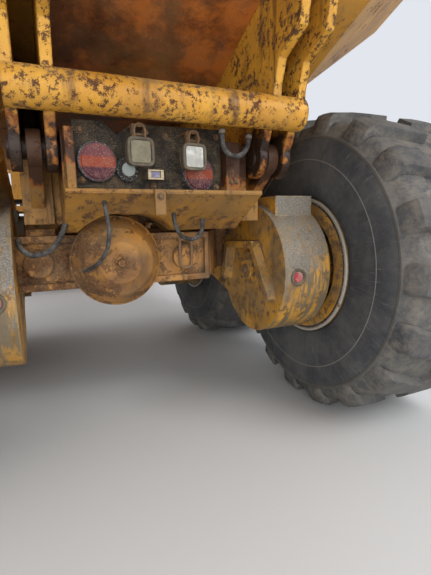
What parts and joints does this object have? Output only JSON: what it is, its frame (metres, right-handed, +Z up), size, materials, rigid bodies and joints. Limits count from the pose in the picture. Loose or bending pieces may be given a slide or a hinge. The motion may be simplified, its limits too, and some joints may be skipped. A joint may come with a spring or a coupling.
{
  "type": "articulated dump truck",
  "caption": "Six-wheel articulated dump truck with a tipping dump body, an oscillating steering hitch, a cab, a tilting hood, and lamps and brake guards at the tail.",
  "frame": {"origin": "on the ground below the middle of the truck's box", "axes": "+X to the truck's right, +Y forward along the truck, +Z up"},
  "size_m": [3.4, 11.26, 3.72],
  "materials": {
    "yellow_paint": "satin, chipped and dusty",
    "worn_guard": "matt, scuffed to grey",
    "rusty_casting": "matt, rusty and oily",
    "black_plastic": "matt, speckled with mud",
    "black_steel": "matt",
    "tyre_rubber": "matt, dusty",
    "rod_steel": "polished",
    "hose_rubber": "matt, dusty",
    "window_glass": "clear, tinted",
    "red_lens": "gloss",
    "lamp_lens": "gloss",
    "seat_fabric": "woven"
  },
  "bodies": {
    "rear_chassis": {"rear_frame": "yellow_paint", "tail_panel": "black_plastic", "rear_lamps": "red_lens", "work_lamps": "black_plastic", "rear_axle": "rusty_casting", "middle_axle": "rusty_casting", "bogie_beams": "worn_guard", "brake_guards": "worn_guard", "rear_driveshafts": "rusty_casting", "rear_mudflaps": "hose_rubber", "cable_drop": "hose_rubber", "hose_left": "hose_rubber", "hose_right": "hose_rubber"},
    "dump_bed": {"dump_body": "yellow_paint", "body_hinge": "yellow_paint"},
    "hoist_barrel_pair": {"hoist_barrels": "yellow_paint"},
    "hoist_rod_pair": {"hoist_rods": "rod_steel"},
    "hitch_body": {"hitch": "yellow_paint"},
    "tractor": {"front_frame": "yellow_paint", "front_axle": "rusty_casting", "engine_block": "rusty_casting", "radiator": "rusty_casting", "bumper": "black_steel", "headlamps": "lamp_lens", "cab_shell": "yellow_paint", "cab_glass": "window_glass", "seat": "seat_fabric", "steering_column": "black_plastic", "fenders": "yellow_paint", "steps": "black_steel", "handrails": "yellow_paint", "mirrors": "black_plastic", "exhaust": "black_steel", "side_tanks": "black_steel"},
    "hood_lid": {"hood": "yellow_paint", "grille": "black_plastic"},
    "door": {"cab_door": "yellow_paint", "door_glass": "window_glass"},
    "steer_left": {"steer_barrel_left": "yellow_paint"},
    "steer_right": {"steer_barrel_right": "yellow_paint"},
    "steer_left_rod": {"steer_rod_left": "rod_steel"},
    "steer_right_rod": {"steer_rod_right": "rod_steel"},
    "wheel_front_left": {"tyre_front_left": "tyre_rubber", "rim_front_left": "worn_guard"},
    "wheel_front_right": {"tyre_front_right": "tyre_rubber", "rim_front_right": "worn_guard"},
    "wheel_middle_left": {"tyre_middle_left": "tyre_rubber", "rim_middle_left": "worn_guard"},
    "wheel_middle_right": {"tyre_middle_right": "tyre_rubber", "rim_middle_right": "worn_guard"},
    "wheel_rear_left": {"tyre_rear_left": "tyre_rubber", "rim_rear_left": "worn_guard"},
    "wheel_rear_right": {"tyre_rear_right": "tyre_rubber", "rim_rear_right": "worn_guard"}
  },
  "joints": [
    {"name": "wheel_front_left_turn", "type": "hinge", "parent": "tractor", "child": "wheel_front_left", "pos_m": [-1.32, 2.63, 0.885], "axis": [1, 0, 0], "continuous": true},
    {"name": "wheel_front_right_turn", "type": "hinge", "parent": "tractor", "child": "wheel_front_right", "pos_m": [1.32, 2.63, 0.885], "axis": [1, 0, 0], "continuous": true},
    {"name": "wheel_middle_left_turn", "type": "hinge", "parent": "rear_chassis", "child": "wheel_middle_left", "pos_m": [-1.32, -1.89, 0.885], "axis": [1, 0, 0], "continuous": true},
    {"name": "wheel_middle_right_turn", "type": "hinge", "parent": "rear_chassis", "child": "wheel_middle_right", "pos_m": [1.32, -1.89, 0.885], "axis": [1, 0, 0], "continuous": true},
    {"name": "wheel_rear_left_turn", "type": "hinge", "parent": "rear_chassis", "child": "wheel_rear_left", "pos_m": [-1.32, -3.83, 0.885], "axis": [1, 0, 0], "continuous": true},
    {"name": "wheel_rear_right_turn", "type": "hinge", "parent": "rear_chassis", "child": "wheel_rear_right", "pos_m": [1.32, -3.83, 0.885], "axis": [1, 0, 0], "continuous": true},
    {"name": "body_tip", "type": "hinge", "parent": "rear_chassis", "child": "dump_bed", "pos_m": [0, -4.18, 1.442], "axis": [1, 0, 0], "range_deg": [0, 70]},
    {"name": "hoist_barrel_turn", "type": "hinge", "parent": "rear_chassis", "child": "hoist_barrel_pair", "pos_m": [0, -1, 1.16], "axis": [1, 0, 0], "range_deg": [-12, 0]},
    {"name": "hoist_rod_slide", "type": "slide", "parent": "hoist_barrel_pair", "child": "hoist_rod_pair", "axis": [0, -0.9564, 0.292], "range_m": [0, 1.43]},
    {"name": "frame_oscillation", "type": "hinge", "parent": "rear_chassis", "child": "hitch_body", "pos_m": [0, 0.4, 1.12], "axis": [0, 1, 0], "range_deg": [-10, 10]},
    {"name": "steering", "type": "hinge", "parent": "hitch_body", "child": "tractor", "pos_m": [0, 1.15, 1.12], "axis": [0, 0, 1], "range_deg": [-45, 45]},
    {"name": "steer_right_turn", "type": "hinge", "parent": "tractor", "child": "steer_right", "pos_m": [0.62, 2.05, 1.01], "axis": [0, 0, 1], "range_deg": [-9, 9]},
    {"name": "steer_left_turn", "type": "hinge", "parent": "tractor", "child": "steer_left", "pos_m": [-0.62, 2.05, 1.01], "axis": [0, 0, 1], "range_deg": [-9, 9]},
    {"name": "steer_right_slide", "type": "slide", "parent": "steer_right", "child": "steer_right_rod", "axis": [-0.158, -0.9874, 0], "range_m": [-0.36, 0.36]},
    {"name": "steer_left_slide", "type": "slide", "parent": "steer_left", "child": "steer_left_rod", "axis": [0.158, -0.9874, 0], "range_m": [-0.36, 0.36]},
    {"name": "hood_open", "type": "hinge", "parent": "tractor", "child": "hood_lid", "pos_m": [0, 5.42, 1.545], "axis": [-1, 0, 0], "range_deg": [0, 60]},
    {"name": "door_open", "type": "hinge", "parent": "tractor", "child": "door", "pos_m": [-0.876, 2.32, 2.7], "axis": [0, 0, 1], "range_deg": [0, 85]}
  ],
  "couplings": [
    {"joint": "hoist_barrel_turn", "follows": "body_tip", "ratio": -0.1532},
    {"joint": "hoist_rod_slide", "follows": "body_tip", "m_per_rad": 1.1679},
    {"joint": "steer_right_turn", "follows": "steering", "ratio": -0.1831},
    {"joint": "steer_left_turn", "follows": "steering", "ratio": -0.1831},
    {"joint": "steer_right_slide", "follows": "steering", "m_per_rad": 0.4451},
    {"joint": "steer_left_slide", "follows": "steering", "m_per_rad": -0.4451}
  ]
}
